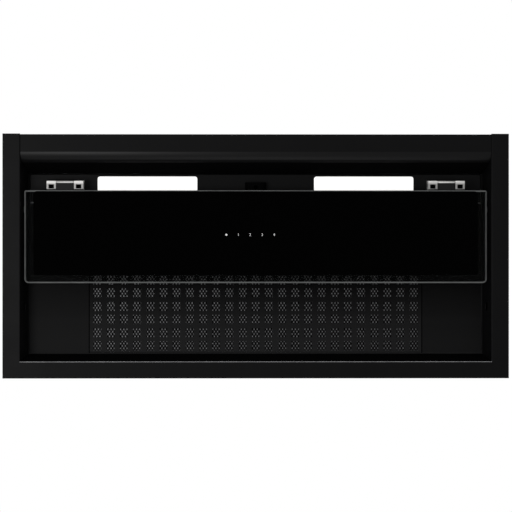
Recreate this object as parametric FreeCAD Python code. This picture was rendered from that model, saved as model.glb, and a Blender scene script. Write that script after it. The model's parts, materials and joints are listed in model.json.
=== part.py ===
import FreeCAD
import Part
import math
import os

# Built-in range hood, in millimetres. +Z is up, X runs across the hood and -Y is its front edge.
# The origin is the centre of the underside of the visible frame.

V = FreeCAD.Vector
ALONG_X = V(1, 0, 0)
ALONG_Y = V(0, 1, 0)
ALONG_Z = V(0, 0, 1)
SIDES = (("left", -1), ("right", 1))

# Clearances shared by every piece
fit = 0.3
seam = 0.5
run_fit = 0.05
overrun = 5.0

# Pressed frame and recess
frame_width = 598.0
frame_depth = 289.0
sheet = 1.2
flange_side = 20.5
flange_rear = 20.0
recess_height = 34.0
side_draft = 6.5
rear_draft = 7.5
recess_bend = 2.5
lip_radius = 1.0
land_rise = 0.4
land_margin = 1.5

# Rolled front trim
trim_setback = 0.8
trim_flat = 20.7
trim_bend = 15.0
trim_angle = math.radians(65.0)
stud_count = 3
stud_spread_share = 0.3
stud_radius = 2.0
stud_height = 7.0
nut_radius = 4.0
nut_height = 3.2
nut_sides = 6

# Lower casing
casing_sheet = 1.0
casing_front_setback = 19.5
casing_height = 76.4
foot_width = 18.4
fixing_radius = 2.75
fixing_spread_share = 0.4
fixing_y = 2.5
fixing_height = 20.0
access_radius = 5.0

# Light channel and lamps
channel_drop = 2.0
channel_depth = 35.5
channel_height = 26.0
channel_sheet = 1.0
channel_bend = 1.5
lamp_length = 119.0
lamp_width = 26.0
lamp_hinge_gap = 15.8
lamp_margin = 3.2
lens_lip = 1.0
lens_rim = 2.0
lens_proud = 0.5
lens_round = 0.4
lens_corner = 3.0
holder_wall = 1.0
holder_height = 16.0
lamp_board = 1.6
lamp_board_inset = 3.0
lamp_board_drop = 3.0
post_radius = 2.5
chip_count = 8
chip_size = 5.0
chip_height = 1.2

# Glass flap
glass_side_gap = 4.6
glass_depth = 109.8
glass_thickness = 5.0
glass_height = 6.0
glass_corner = 5.0
glass_chamfer = 1.6
glass_reach = 8.9
clear_side = 10.9
clear_rear = 9.6
clear_front = 1.0
film = 0.15
backing = 1.0
backing_lip = 5.0
touch_length = 138.0
touch_depth = 28.0
touch_board_sheet = 1.6
housing_wall = 2.0
housing_margin = 8.0
housing_height = 9.0

# Flap hinges, cable boot and magnetic catches
hinge_inset = 47.6
hinge_length = 43.4
hinge_setback = 11.6
hinge_rise = 4.5
hinge_block = 11.0
hinge_plate = 1.5
hinge_plate_front = 4.8
hinge_plate_rear = 8.6
barrel_radius = 2.9
hinge_pin_radius = 1.5
block_reach = 8.1
block_drop = 5.5
block_round = 1.5
pocket_length = 6.4
pocket_width = 4.9
pocket_depth = 11.0
leaf = 2.0
leaf_reach = 40.0
leaf_neck = 12.0
leaf_half_width = 18.0
leaf_screw_reach = 28.0
hinge_screw_offset = 6.0
small_screw_radius = 1.5
small_head_radius = 3.0
small_head_height = 1.6
boot_half_width = 12.5
boot_depth = 12.0
boot_drop = 12.0
boot_front_offset = 1.0
boot_round = 8.0
boot_plug_radius = 5.0
boot_plug_height = 4.0
boot_hole = 2.5
catch_inset = 10.5
catch_radius = 7.0
magnet_radius = 5.0
magnet_height = 3.0

# Grease filter cassette
strip_width = 3.0
filter_side_blank = 73.0
filter_rear_margin = 2.3
filter_sheet = 0.8
filter_height = 9.0
window_side_margin = 4.0
window_front_margin = 2.5
window_pitch = 15.77
window_width = 9.5
window_depth = 11.0
window_rear_margin = 1.0
mesh_thickness = 5.4
grille_columns = 12
grille_rows = 5
grille_bar = 6.0
tongue_spread_share = 0.65
tongue_width = 30.0
tongue_reach = 4.0
tongue_thickness = 1.0

# Filter latch
latch_half = 12.0
latch_length = 13.0
latch_thickness = 4.0
latch_travel = 6.0
latch_gap = 0.4
bolt_half = 8.0
bolt_thickness = 2.0
grip_half = 14.0
grip_length = 9.0
grip_height = 3.0
grip_round = 1.0
neck_half = 6.0
neck_length = 4.0
guide_wall = 1.6
guide_flange = 5.0
spring_length = 12.0
spring_radius = 1.6
spring_wire = 0.35
spring_turns = 6
blank_margin = 8.0

# Blower
impeller_radius = 62.0
impeller_half = 50.0
impeller_side_gap = 10.0
cutoff_gap = 7.0
scroll_step = 7.0
cutoff_steps = 2.5
front_steps = 1.5
scroll_wall = 2.5
blower_y = -30.0
blower_floor = 62.0
cutoff_offset = 13.5
outlet_rise = 16.0
scroll_flange = 9.0
inlet_radius = 54.0
blade_count = 40
blade_chord = 12.0
blade_sheet = 1.2
blade_angle = math.radians(35.0)
ring_height = 3.0
hub_radius = 13.0
hub_half = 8.0
disc_sheet = 2.5
shaft_radius = 4.0
shaft_depth = 22.0
shaft_tail = 6.0
collet_radius = 8.0
motor_radius = 42.0
motor_gap = 2.0
motor_length = 44.0
motor_round = 5.0
boss_radius = 18.0
arm_count = 3
arm_width = 14.0
arm_sheet = 2.5
bush_radius = 6.0
bush_reach = 64.0
bush_height = 4.0
motor_screw_radius = 2.0
motor_head_radius = 4.0
motor_head_height = 2.4

# Motor box and capacitor
box_half = 150.0
box_depth = 224.0
box_gap = 3.0
box_sheet = 1.0
box_round = 8.0
box_flange = 12.0
box_screw_columns = 3
box_screw_spread_share = 0.8
box_screw_radius = 2.0
box_head_radius = 4.0
box_head_height = 2.4
box_screw_length = 6.0
slot_width = 0.9
slot_length = 4.6
slot_depth = 1.2
bead_radius = 6.0
bead_rise = 1.2
bead_margin = 14.0
bead_inset = 30.0
bead_rows = 2
capacitor_radius = 15.0
capacitor_length = 56.0
capacitor_side_gap = 22.0
capacitor_height = 60.0
clip_height = 20.0
clip_wall = 2.0

# Duct collar and backdraft flaps
collar_radius = 74.5
collar_wall = 2.0
collar_height = 44.0
collar_base = 2.0
collar_flange = 17.0
collar_screw_count = 4
collar_screw_inset = 7.0
pin_height = 20.0
pin_radius = 2.0
pin_inset = 0.5
valve_gap = 1.2
valve_sheet = 1.5
valve_inset = 4.8
knuckle_radius = 4.0
knuckle_length = 9.0
knuckle_pitch = 26.0
ledge_width = 3.0
ledge_height = 2.0
ledge_gap = 6.0

# Control box, terminal block and cable gland
control_side_gap = 7.5
control_y = 15.0
control_depth = 130.0
control_height = 30.0
control_wall = 2.0
control_round = 3.0
lid_height = 3.0
standoff_radius = 3.0
standoff_height = 6.0
power_board_sheet = 1.6
power_inset = 4.0
relay_count = 4
relay_pitch = 20.0
relay_half = 8.0
relay_depth = 14.0
relay_height = 13.0
transformer_half = 17.0
transformer_depth = 30.0
transformer_height = 18.0
terminal_half = 20.0
terminal_y = 55.0
terminal_depth = 24.0
terminal_height = 16.0
terminal_count = 3
terminal_hole = 3.0
gland_y = 20.0
gland_radius = 8.0
gland_flange = 12.5
gland_flange_height = 4.0
gland_cap_radius = 10.5
gland_cap_height = 12.0
gland_cap_round = 3.0
gland_nut_height = 4.0
gland_tail = 7.0
gland_bore = 4.5

# Places worked out from the values above
half_width = frame_width / 2
front_edge = -frame_depth / 2
rear_edge = frame_depth / 2
mouth_x = half_width - flange_side
mouth_rear = rear_edge - flange_rear
roof_x = mouth_x - side_draft
roof_rear = mouth_rear - rear_draft
roof_top = recess_height + sheet
casing_x = mouth_x + sheet + fit + casing_sheet
casing_front = front_edge + casing_front_setback
casing_rear = mouth_rear + sheet + fit + casing_sheet
casing_base = sheet + land_rise
foot_top = sheet + casing_sheet
casing_top = casing_base + casing_height
casing_roof = casing_top - casing_sheet
wall_front = casing_front + casing_sheet + seam
fixing_pitch = frame_depth * fixing_spread_share
fixing_rows = (fixing_y - fixing_pitch / 2, fixing_y + fixing_pitch / 2)
stud_pitch = frame_width * stud_spread_share
filter_half = roof_x - filter_side_blank
side_mid = (filter_half + roof_x) / 2

channel_z = recess_height - channel_drop
channel_floor = channel_z + channel_sheet
bend_y = front_edge + trim_setback + trim_flat
slope_y = bend_y + trim_bend * math.sin(trim_angle)
slope_z = trim_bend * (1 - math.cos(trim_angle))
slope_length = (channel_z - slope_z) / math.sin(trim_angle)
trim_end = slope_y + slope_length * math.cos(trim_angle)
channel_front = trim_end + fit
channel_rear = channel_front + channel_depth
channel_half = roof_x - recess_bend - seam
lamp_front = channel_front + lamp_margin
lamp_y = lamp_front + lamp_width / 2
holder_length = lamp_length + 2 * (lens_lip + holder_wall + fit)
holder_width = lamp_width + 2 * (lens_lip + holder_wall + run_fit)
holder_roof = channel_floor + holder_height - holder_wall
lamp_board_z = holder_roof - lamp_board_drop - lamp_board

axis_y = channel_front + hinge_setback
film_z = glass_height + glass_thickness
backing_z = film_z + film
backing_top = backing_z + backing
axis_z = backing_top + hinge_rise
glass_front = axis_y + glass_reach
glass_rear = glass_front + glass_depth
glass_half = mouth_x - glass_side_gap
glass_mid = (glass_front + glass_rear) / 2
film_half = glass_half - clear_side
film_front = glass_front + clear_front
film_rear = glass_rear - clear_rear
hinge_base_z = channel_z - hinge_plate
hinge_half = hinge_length / 2
hinge_x = glass_half - hinge_inset
lamp_x = hinge_x - hinge_half - lamp_hinge_gap - lamp_length / 2
barrel_half = hinge_half - hinge_block - fit

filter_front = channel_rear + seam + strip_width + fit
filter_rear = roof_rear - filter_rear_margin
filter_floor = recess_height + filter_sheet
filter_top = recess_height + filter_height
strip_front = channel_rear + seam
strip_rear = filter_front - fit
last_row = filter_rear - filter_sheet - window_rear_margin - window_depth / 2
window_span_x = 2 * (filter_half - window_side_margin) - window_width
window_span_y = last_row - filter_front - window_front_margin - window_depth / 2
filter_columns = int(window_span_x / window_pitch) + 1
filter_rows = int(window_span_y / window_pitch) + 1
tongue_x = filter_half * tongue_spread_share
catch_x = side_mid
catch_y = film_rear - catch_inset
latch_base = roof_top + latch_gap
latch_front = filter_front + filter_sheet + seam
latch_rear = latch_front + latch_length
guide_rear = latch_rear + spring_length
latch_top = latch_base + latch_thickness
guide_top = latch_top + fit + guide_wall
latch_mid = latch_base + latch_thickness / 2

scroll_radius = impeller_radius + cutoff_gap + scroll_step * cutoff_steps
scroll_half = impeller_half + impeller_side_gap
blower_z = blower_floor + scroll_wall + scroll_radius - scroll_step / 2
scroll_rear = blower_y + scroll_radius + scroll_step / 2
scroll_front = blower_y - scroll_radius + scroll_step * front_steps
scroll_top = blower_z + scroll_radius - scroll_step * cutoff_steps + scroll_wall
box_top = scroll_top + outlet_rise
box_roof = box_top - box_sheet
box_front = scroll_front - scroll_wall - box_gap - box_sheet
box_rear = box_front + box_depth
box_screw_pitch = box_half * box_screw_spread_share
capacitor_x = capacitor_radius + capacitor_side_gap - box_half
collar_y = (blower_y + cutoff_offset + scroll_rear) / 2
collar_inner = collar_radius - collar_wall
collar_top = box_top + collar_height
pin_z = box_top + pin_height
valve_radius = collar_inner - valve_gap
motor_start = hub_half + motor_gap
motor_end = motor_start + motor_length
bush_start = scroll_half + scroll_wall
bracket_start = bush_start + bush_height
control_x = -side_mid
control_half = (roof_x - filter_half) / 2 - control_side_gap
terminal_x = side_mid
control_front = control_y - control_depth / 2
control_rear = control_y + control_depth / 2
control_top = roof_top + control_height


def block(x0, x1, y0, y1, z0, z1):
    """Box between two corners."""
    return Part.makeBox(x1 - x0, y1 - y0, z1 - z0, V(x0, y0, z0))


def slab(half, y0, y1, z0, z1):
    """Box centred across the hood."""
    return block(-half, half, y0, y1, z0, z1)


def post(radius, x, y, z0, z1):
    """Upright cylinder."""
    return Part.makeCylinder(radius, z1 - z0, V(x, y, z0), ALONG_Z)


def axle(radius, x0, x1, y, z):
    """Cylinder along X."""
    return Part.makeCylinder(radius, x1 - x0, V(x0, y, z), ALONG_X)


def joined(shapes):
    """One solid out of several."""
    shapes = list(shapes)
    return shapes[0].fuse(shapes[1:]).removeSplitter()


def gathered(shapes):
    """Loose solids kept together in one node."""
    return Part.makeCompound(list(shapes))


def flipped(shape):
    """The same piece on the other side of the hood."""
    return shape.mirror(V(0, 0, 0), ALONG_X)


def upright_edges(shape):
    """Edges that run along Z."""
    straight = [e for e in shape.Edges if len(e.Vertexes) == 2]
    return [e for e in straight if e.tangentAt(e.FirstParameter).cross(ALONG_Z).Length < run_fit]


def edges_at(shape, z):
    """Edges that lie wholly at one height."""
    return [e for e in shape.Edges if all(abs(v.Point.z - z) < run_fit for v in e.Vertexes)]


def rounded_block(x0, x1, y0, y1, z0, z1, radius):
    """Box with rounded upright edges."""
    shape = block(x0, x1, y0, y1, z0, z1)
    return shape.makeFillet(radius, upright_edges(shape))


def recess_block(grow, y_front, top):
    """Tapered block with the draft of the recess, its sides moved out by grow."""
    share = top / recess_height
    rings = []
    for z, part_share in ((0, 0), (top, share)):
        x = mouth_x + grow - side_draft * part_share
        y = mouth_rear + grow - rear_draft * part_share
        ring = [V(-x, y_front, z), V(x, y_front, z), V(x, y, z), V(-x, y, z)]
        rings.append(Part.makePolygon(ring + ring[:1]))
    return Part.makeLoft(rings, True, True)


def bent_top(shape, y_front, top, radius):
    """Round the top edges of a recess block, all but the front one."""
    edges = [e for e in edges_at(shape, top) if any(v.Point.y > y_front + overrun for v in e.Vertexes)]
    return shape.makeFillet(radius, edges)


def canopy_tub():
    """Pressed frame: flange on three sides, sloped walls and roof with the filter opening."""
    void_front = front_edge - overrun
    void = bent_top(recess_block(0, void_front, recess_height), void_front, recess_height, recess_bend)
    skin = bent_top(
        recess_block(sheet, wall_front, roof_top), wall_front, roof_top, recess_bend + sheet)
    flange = slab(half_width, front_edge, rear_edge, 0, sheet)
    land_x = casing_x + land_margin
    land = slab(land_x, casing_front, casing_rear + land_margin, sheet, casing_base)
    tub = joined([skin, flange, land]).cut(void)
    tub = tub.cut(slab(channel_half + seam, front_edge, strip_front, channel_z, roof_top + overrun))
    opening = slab(filter_half + fit, strip_rear, filter_rear + fit, channel_z, roof_top + overrun)
    tub = tub.cut(opening)
    for y in fixing_rows:
        tub = tub.cut(axle(access_radius, -half_width, half_width, y, fixing_height))
    return rounded_lip(tub.removeSplitter())


def on_lip(edge):
    """True for the edges between the flange and the recess walls."""
    points = [v.Point for v in edge.Vertexes]
    side = all(abs(abs(p.x) - mouth_x) < run_fit for p in points)
    rear = all(abs(p.y - mouth_rear) < run_fit for p in points)
    return side or rear


def rounded_lip(tub):
    """Round the lower edge where the flange turns up into the recess."""
    return tub.makeFillet(lip_radius, [e for e in edges_at(tub, 0) if on_lip(e)])


def front_trim():
    """Flat strip rolled up into the slope in front of the lamps, with studs on top."""
    flat_y = front_edge + trim_setback
    lean = math.sin(trim_angle)
    rise = math.cos(trim_angle)

    def arc(radius, share):
        angle = trim_angle * share
        return V(0, bend_y + radius * math.sin(angle), trim_bend - radius * math.cos(angle))

    inner = trim_bend - sheet
    low_end = V(0, trim_end, channel_z)
    high_end = V(0, trim_end - sheet * lean, channel_z + sheet * rise)
    edges = [
        Part.makeLine(V(0, flat_y, 0), arc(trim_bend, 0)),
        Part.Arc(arc(trim_bend, 0), arc(trim_bend, 0.5), arc(trim_bend, 1)).toShape(),
        Part.makeLine(arc(trim_bend, 1), low_end),
        Part.makeLine(low_end, high_end),
        Part.makeLine(high_end, arc(inner, 1)),
        Part.Arc(arc(inner, 1), arc(inner, 0.5), arc(inner, 0)).toShape(),
        Part.makeLine(arc(inner, 0), V(0, flat_y, sheet)),
        Part.makeLine(V(0, flat_y, sheet), V(0, flat_y, 0)),
    ]
    strip = Part.Face(Part.Wire(edges)).extrude(V(frame_width, 0, 0))
    strip.translate(V(-half_width, 0, 0))
    strip = strip.common(recess_block(-seam, front_edge - overrun, roof_top + overrun))
    studs = [post(stud_radius, x, stud_y(), sheet / 2, sheet + stud_height) for x in stud_places()]
    return joined([strip] + studs)


def stud_y():
    """Row of studs, in the middle of the casing foot."""
    return casing_front - foot_width / 2


def stud_places():
    """Studs spread evenly across the trim."""
    return [(i - (stud_count - 1) / 2) * stud_pitch for i in range(stud_count)]


def nut(x):
    """Hexagonal nut on one stud."""
    corners = []
    for i in range(nut_sides):
        turn = math.tau * i / nut_sides
        corners.append(V(x + nut_radius * math.cos(turn), stud_y() + nut_radius * math.sin(turn), 0))
    nut_z = foot_top
    body = Part.Face(Part.makePolygon(corners + corners[:1])).extrude(V(0, 0, nut_height))
    body.translate(V(0, 0, nut_z))
    return body.cut(post(stud_radius + run_fit, x, stud_y(), 0, casing_top))


def lower_casing():
    """Welded sheet casing that stands on the frame: four walls, a top plate and a foot along the front."""
    inner_x = casing_x - casing_sheet
    inner_front = casing_front + casing_sheet
    inner_rear = casing_rear - casing_sheet
    foot_half = mouth_x - side_draft * sheet / recess_height
    foot = slab(foot_half, casing_front - foot_width, casing_front, sheet, foot_top)
    for x in stud_places():
        foot = foot.cut(post(stud_radius + fit, x, stud_y(), 0, foot_top + overrun))
    front = joined([slab(casing_x, casing_front, inner_front, casing_base, casing_roof), foot])
    rear = slab(casing_x, inner_rear, casing_rear, casing_base, casing_roof)
    side = block(inner_x, casing_x, inner_front, inner_rear, casing_base, casing_roof)
    for y in fixing_rows:
        side = side.cut(axle(fixing_radius, inner_x - overrun, casing_x + overrun, y, fixing_height))
    top = slab(casing_x, casing_front, casing_rear, casing_roof, casing_top)
    hole_half = box_half - box_sheet - box_round
    low = casing_roof - overrun
    high = casing_top + overrun
    top = top.cut(slab(hole_half, box_front + box_round, box_rear - box_round, low, high))
    bead_z = casing_top - bead_radius + bead_rise
    solid_part = slab(casing_x, casing_front, casing_rear, casing_roof, high)
    for x in (box_half + box_flange + bead_margin, casing_x - bead_margin):
        y0 = casing_front + bead_inset
        y1 = casing_rear - bead_inset
        rib = bead(V(x, y0, bead_z), V(x, y1, bead_z)).common(solid_part)
        top = top.fuse([rib, flipped(rib)])
    top = top.removeSplitter()
    for x, y in box_screw_places():
        top = top.cut(post(box_screw_radius + run_fit, x, y, low, high))
    top = top.cut(post(gland_radius + run_fit, terminal_x, gland_y, low, high))
    return gathered([front, rear, side, flipped(side), top])


def box_screw_places():
    """Screws through the foot of the motor box, front and rear rows."""
    inset = box_flange / 2
    columns = [(i - (box_screw_columns - 1) / 2) * box_screw_pitch for i in range(box_screw_columns)]
    return [(x, y) for y in (box_front - inset, box_rear + inset) for x in columns]


def bead(start, stop):
    """Round-ended bar whose outer side stands proud as a pressed bead."""
    way = stop - start
    bar = Part.makeCylinder(bead_radius, way.Length, start, way)
    return bar.fuse([Part.makeSphere(bead_radius, start), Part.makeSphere(bead_radius, stop)])


def motor_box():
    """Upper box with rounded corners around the blower, flanged below and bored for the duct."""
    outer = rounded_block(-box_half, box_half, box_front, box_rear, casing_top, box_top, box_round)
    inner = rounded_block(
        -box_half + box_sheet, box_half - box_sheet, box_front + box_sheet, box_rear - box_sheet,
        casing_top - overrun, box_roof, box_round - box_sheet)
    flange_front = box_front - box_flange
    flange_x = box_half + box_flange
    flange = rounded_block(
        -flange_x, flange_x, flange_front, box_rear + box_flange,
        casing_top, casing_top + box_sheet, box_round)
    beads = []
    sink = bead_radius - bead_rise
    for row in range(bead_rows):
        z = casing_top + (box_top - casing_top) * (row + 1) / (bead_rows + 1)
        for y in (box_front + sink, box_rear - sink):
            beads.append(bead(V(bead_inset - box_half, y, z), V(box_half - bead_inset, y, z)))
        for x in (sink - box_half, box_half - sink):
            beads.append(bead(V(x, box_front + bead_inset, z), V(x, box_rear - bead_inset, z)))
    shell = joined([outer, flange] + beads).cut(inner)
    shell = shell.cut(post(collar_inner, 0, collar_y, box_roof - overrun, box_top + overrun))
    for x, y in box_screw_places():
        shell = shell.cut(
            post(box_screw_radius + run_fit, x, y, casing_top - overrun, casing_top + overrun))
    for x, y in collar_screw_places():
        shell = shell.cut(post(box_screw_radius + run_fit, x, y, box_roof - overrun, box_top + overrun))
    return shell


def box_screw(x, y, seat):
    """Pan screw whose head lies on a sheet at one height."""
    head_top = seat + box_head_height
    head = post(box_head_radius, x, y, seat, head_top)
    for along, across in ((slot_length, slot_width), (slot_width, slot_length)):
        head = head.cut(block(
            x - along / 2, x + along / 2, y - across / 2, y + across / 2,
            head_top - slot_depth, head_top + overrun))
    return joined([head, post(box_screw_radius, x, y, seat - box_screw_length, seat)])


def collar_screw_places():
    """Screws around the foot of the duct collar."""
    reach = collar_radius + collar_flange - collar_screw_inset
    turns = [math.pi / 4 + math.tau * i / collar_screw_count for i in range(collar_screw_count)]
    return [(reach * math.cos(t), collar_y + reach * math.sin(t)) for t in turns]


def light_channel():
    """Folded channel that carries the lamps, the hinges and the cable boot."""
    outer = slab(channel_half, channel_front, channel_rear, channel_z, casing_roof)
    lower = [e for e in edges_at(outer, channel_z) if abs(e.tangentAt(e.FirstParameter).x) > seam]
    outer = outer.makeFillet(channel_bend, lower)
    inner_front = channel_front + channel_sheet
    inner_rear = channel_rear - channel_sheet
    shell = outer.cut(slab(channel_half + overrun, inner_front, inner_rear, channel_floor, casing_top))
    wall_top = channel_z + channel_height
    shell = shell.cut(
        slab(box_half, channel_front - overrun, channel_rear + overrun, wall_top, casing_top))
    for name, side in SIDES:
        window = lamp_block(lamp_length, lamp_width, channel_z - overrun, channel_floor + overrun)
        window = window.makeFillet(lens_corner + run_fit, upright_edges(window))
        window.translate(V(side * lamp_x, 0, 0))
        shell = shell.cut(window)
        for x in hinge_screw_places(side):
            shell = shell.cut(post(
                small_screw_radius + run_fit, x, axis_y, channel_z - overrun, channel_floor + overrun))
    return shell.cut(
        post(boot_plug_radius + run_fit, 0, boot_y(), channel_z - overrun, channel_floor + overrun))


def lamp_block(length, width, z0, z1):
    """Box centred on the row of lamps."""
    return block(-length / 2, length / 2, lamp_y - width / 2, lamp_y + width / 2, z0, z1)


def led_lens():
    """Stepped lens that drops into its window from above."""
    body = lamp_block(
        lamp_length - 2 * run_fit, lamp_width - 2 * run_fit, channel_z - lens_proud, channel_floor)
    body = body.makeFillet(lens_corner, upright_edges(body))
    body = body.makeFillet(lens_round, edges_at(body, channel_z - lens_proud))
    rim = lamp_block(
        lamp_length + 2 * lens_lip, lamp_width + 2 * lens_lip, channel_floor, channel_floor + lens_rim)
    return joined([body, rim])


def led_holder():
    """Cover over the lens that carries the board on four posts."""
    shell = lamp_block(holder_length, holder_width, channel_floor, channel_floor + holder_height)
    shell = shell.cut(lamp_block(
        holder_length - 2 * holder_wall, holder_width - 2 * holder_wall,
        channel_floor - overrun, holder_roof))
    posts = []
    for x_way in (-1, 1):
        for y_way in (-1, 1):
            x = x_way * (lamp_length / 2 - lamp_board_inset - 2 * post_radius)
            y = lamp_y + y_way * (lamp_width / 2 - lamp_board_inset - post_radius)
            posts.append(post(post_radius, x, y, lamp_board_z + lamp_board, holder_roof))
    return joined([shell] + posts)


def led_board():
    """Lamp board with its row of emitters below."""
    board = lamp_block(
        lamp_length - 2 * lamp_board_inset,
        lamp_width - 2 * lamp_board_inset, lamp_board_z, lamp_board_z + lamp_board)
    pitch = (lamp_length - 2 * lamp_board_inset) / chip_count
    chips = []
    for i in range(chip_count):
        x = (i - (chip_count - 1) / 2) * pitch
        chips.append(block(
            x - chip_size / 2, x + chip_size / 2, lamp_y - chip_size / 2, lamp_y + chip_size / 2,
            lamp_board_z - chip_height, lamp_board_z))
    return joined([board] + chips)


def flap_glass():
    """Tempered pane with rounded corners and polished edges."""
    pane = rounded_block(
        -glass_half, glass_half, glass_front, glass_rear, glass_height, film_z, glass_corner)
    return pane.makeChamfer(glass_chamfer, edges_at(pane, glass_height) + edges_at(pane, film_z))


def touch_window(half_extra, z0, z1):
    """Box around the middle of the pane, for the touch board and what clears it."""
    half_depth = touch_depth / 2 + half_extra
    return slab(touch_length / 2 + half_extra, glass_mid - half_depth, glass_mid + half_depth, z0, z1)


def flap_backing_plate():
    """Steel plate bonded to the pane, turned up along its rear edge."""
    plate = slab(film_half, film_front, film_rear, backing_z, backing_top)
    lip = slab(film_half, film_rear - backing, film_rear, backing_z, backing_top + backing_lip)
    plate = joined([plate, lip]).cut(touch_window(fit, film_z - overrun, backing_top + overrun))
    for name, side in SIDES:
        for x in leaf_screw_places(side):
            plate = plate.cut(post(
                small_screw_radius + run_fit, x, leaf_screw_y(),
                backing_z - overrun, backing_top + overrun))
    return plate


def touch_housing():
    """Cover over the touch board."""
    shell = touch_window(housing_margin, backing_top, backing_top + housing_height)
    shell = shell.makeFillet(housing_wall, upright_edges(shell))
    return shell.cut(touch_window(
        housing_margin - housing_wall, backing_top - overrun,
        backing_top + housing_height - housing_wall))


def hinge_screw_places(side):
    """Screws that hold one hinge base."""
    return [side * hinge_x + way * hinge_screw_offset for way in (-1, 1)]


def leaf_screw_places(side):
    """Screws that hold one hinge leaf."""
    return [side * hinge_x + way * 2 * hinge_screw_offset for way in (-1, 1)]


def leaf_screw_y():
    """Row of the leaf screws."""
    return axis_y + leaf_screw_reach


def hinge_base():
    """Plate under the channel with two end blocks that hold the pin."""
    plate = slab(
        hinge_half, axis_y - hinge_plate_front, axis_y + hinge_plate_rear, hinge_base_z, channel_z)
    shape = plate
    for way in (-1, 1):
        inner = hinge_half - hinge_block
        low = axis_z - block_drop
        end = block(inner, hinge_half, axis_y - barrel_radius, axis_y + block_reach, low, hinge_base_z)
        end = end.makeFillet(
            block_round, [e for e in edges_at(end, low) if abs(e.tangentAt(e.FirstParameter).x) > seam])
        middle = inner + hinge_block / 2
        pocket_rear = axis_y + block_reach - block_round
        end = end.cut(block(
            middle - pocket_length / 2, middle + pocket_length / 2,
            pocket_rear - pocket_width, pocket_rear,
            low - overrun, low + pocket_depth))
        shape = shape.fuse(end if way > 0 else flipped(end))
    shape = shape.removeSplitter().cut(
        axle(hinge_pin_radius, -hinge_half - overrun, hinge_half + overrun, axis_y, axis_z))
    for way in (-1, 1):
        x = way * hinge_screw_offset
        shape = shape.cut(
            post(small_screw_radius + run_fit, x, axis_y, hinge_base_z - overrun, channel_z + overrun))
    return shape


def hinge_leaf():
    """Barrel on the pin and the cranked leaf that carries the pane."""
    barrel = axle(barrel_radius, -barrel_half, barrel_half, axis_y, axis_z)
    neck_end = axis_y + leaf_neck
    web = slab(barrel_half, axis_y, axis_y + barrel_radius, backing_top, axis_z)
    neck = slab(barrel_half, axis_y, neck_end, backing_top, backing_top + leaf)
    pad = slab(leaf_half_width, neck_end, axis_y + leaf_reach, backing_top, backing_top + leaf)
    shape = joined([barrel, web, neck, pad])
    shape = shape.cut(axle(hinge_pin_radius + run_fit, -hinge_half, hinge_half, axis_y, axis_z))
    for way in (-1, 1):
        x = way * 2 * hinge_screw_offset
        hole_top = backing_top + leaf + overrun
        shape = shape.cut(post(small_screw_radius + run_fit, x, leaf_screw_y(), backing_z, hole_top))
    return shape


def hinge_screw(x):
    """Screw up through a hinge base into the channel."""
    head = post(small_head_radius, x, axis_y, hinge_base_z - small_head_height, hinge_base_z)
    return joined(
        [head, post(small_screw_radius, x, axis_y, hinge_base_z, channel_floor + small_head_height)])


def leaf_screw(x):
    """Screw down through a hinge leaf into the backing plate."""
    seat = backing_top + leaf
    head = post(small_head_radius, x, leaf_screw_y(), seat, seat + small_head_height)
    return joined([head, post(small_screw_radius, x, leaf_screw_y(), backing_z, seat)])


def boot_y():
    """Middle of the cable boot."""
    return axis_y - boot_front_offset + boot_depth / 2


def cable_boot():
    """Rubber boot where the control cable leaves the channel."""
    front = boot_y() - boot_depth / 2
    body = slab(boot_half_width, front, front + boot_depth, channel_z - boot_drop, channel_z)
    corners = [
        e for e in edges_at(body, channel_z - boot_drop) if abs(e.tangentAt(e.FirstParameter).y) > seam]
    body = body.makeFillet(boot_round, corners)
    plug = post(boot_plug_radius, 0, boot_y(), channel_z, channel_floor + boot_plug_height)
    return joined([body, plug]).cut(post(boot_hole, 0, boot_y(), 0, casing_top))


def catch_post():
    """Stand-off under the roof with a socket for its magnet."""
    low = backing_top + fit
    shape = post(catch_radius, catch_x, catch_y, low, recess_height)
    return shape.cut(post(magnet_radius, catch_x, catch_y, low, low + magnet_height))


def catch_magnet():
    """Magnet pressed into the catch."""
    low = backing_top + fit
    return post(magnet_radius, catch_x, catch_y, low, low + magnet_height)


def filter_window_rows():
    """Rows of windows, counted from the rear edge."""
    return [last_row - i * window_pitch for i in range(filter_rows)]


def window_blocked(x, y):
    """True where the latch needs plain sheet."""
    return abs(x) < grip_half + blank_margin and y < guide_rear + blank_margin


def filter_cover():
    """Pan of the cassette with its field of square windows, rear tongues and latch slot."""
    pan = slab(filter_half, filter_front, filter_rear, recess_height, filter_top)
    pan = pan.cut(slab(
        filter_half - filter_sheet, filter_front + filter_sheet,
        filter_rear - filter_sheet, filter_floor, filter_top + overrun))
    cutters = []
    for y in filter_window_rows():
        for i in range(filter_columns):
            x = (i - (filter_columns - 1) / 2) * window_pitch
            if not window_blocked(x, y):
                cutters.append(block(
                    x - window_width / 2, x + window_width / 2,
                    y - window_depth / 2, y + window_depth / 2,
                    recess_height - overrun, filter_floor + seam))
    pan = pan.cut(Part.makeCompound(cutters))
    slot_rear = grip_y() + neck_length / 2 + latch_travel + latch_gap
    pan = pan.cut(slab(
        neck_half + latch_gap, grip_y() - neck_length / 2 - latch_gap,
        slot_rear, recess_height - overrun, filter_floor + seam))
    pan = pan.cut(slab(
        bolt_half + latch_gap, filter_front - overrun, filter_front + filter_sheet + seam,
        latch_base - latch_gap, latch_base + bolt_thickness + latch_gap))
    tongue_z = roof_top + fit
    for way in (-1, 1):
        x = way * tongue_x
        pan = pan.fuse(block(
            x - tongue_width / 2, x + tongue_width / 2,
            filter_rear - filter_sheet, filter_rear + tongue_reach,
            tongue_z, tongue_z + tongue_thickness))
    return pan.removeSplitter()


def latch_pocket(extra, z0, z1):
    """Box around the latch and its guide."""
    half = latch_half + fit + guide_wall + guide_flange + extra
    return slab(half, filter_front, guide_rear + guide_wall + guide_flange + extra, z0, z1)


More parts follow.
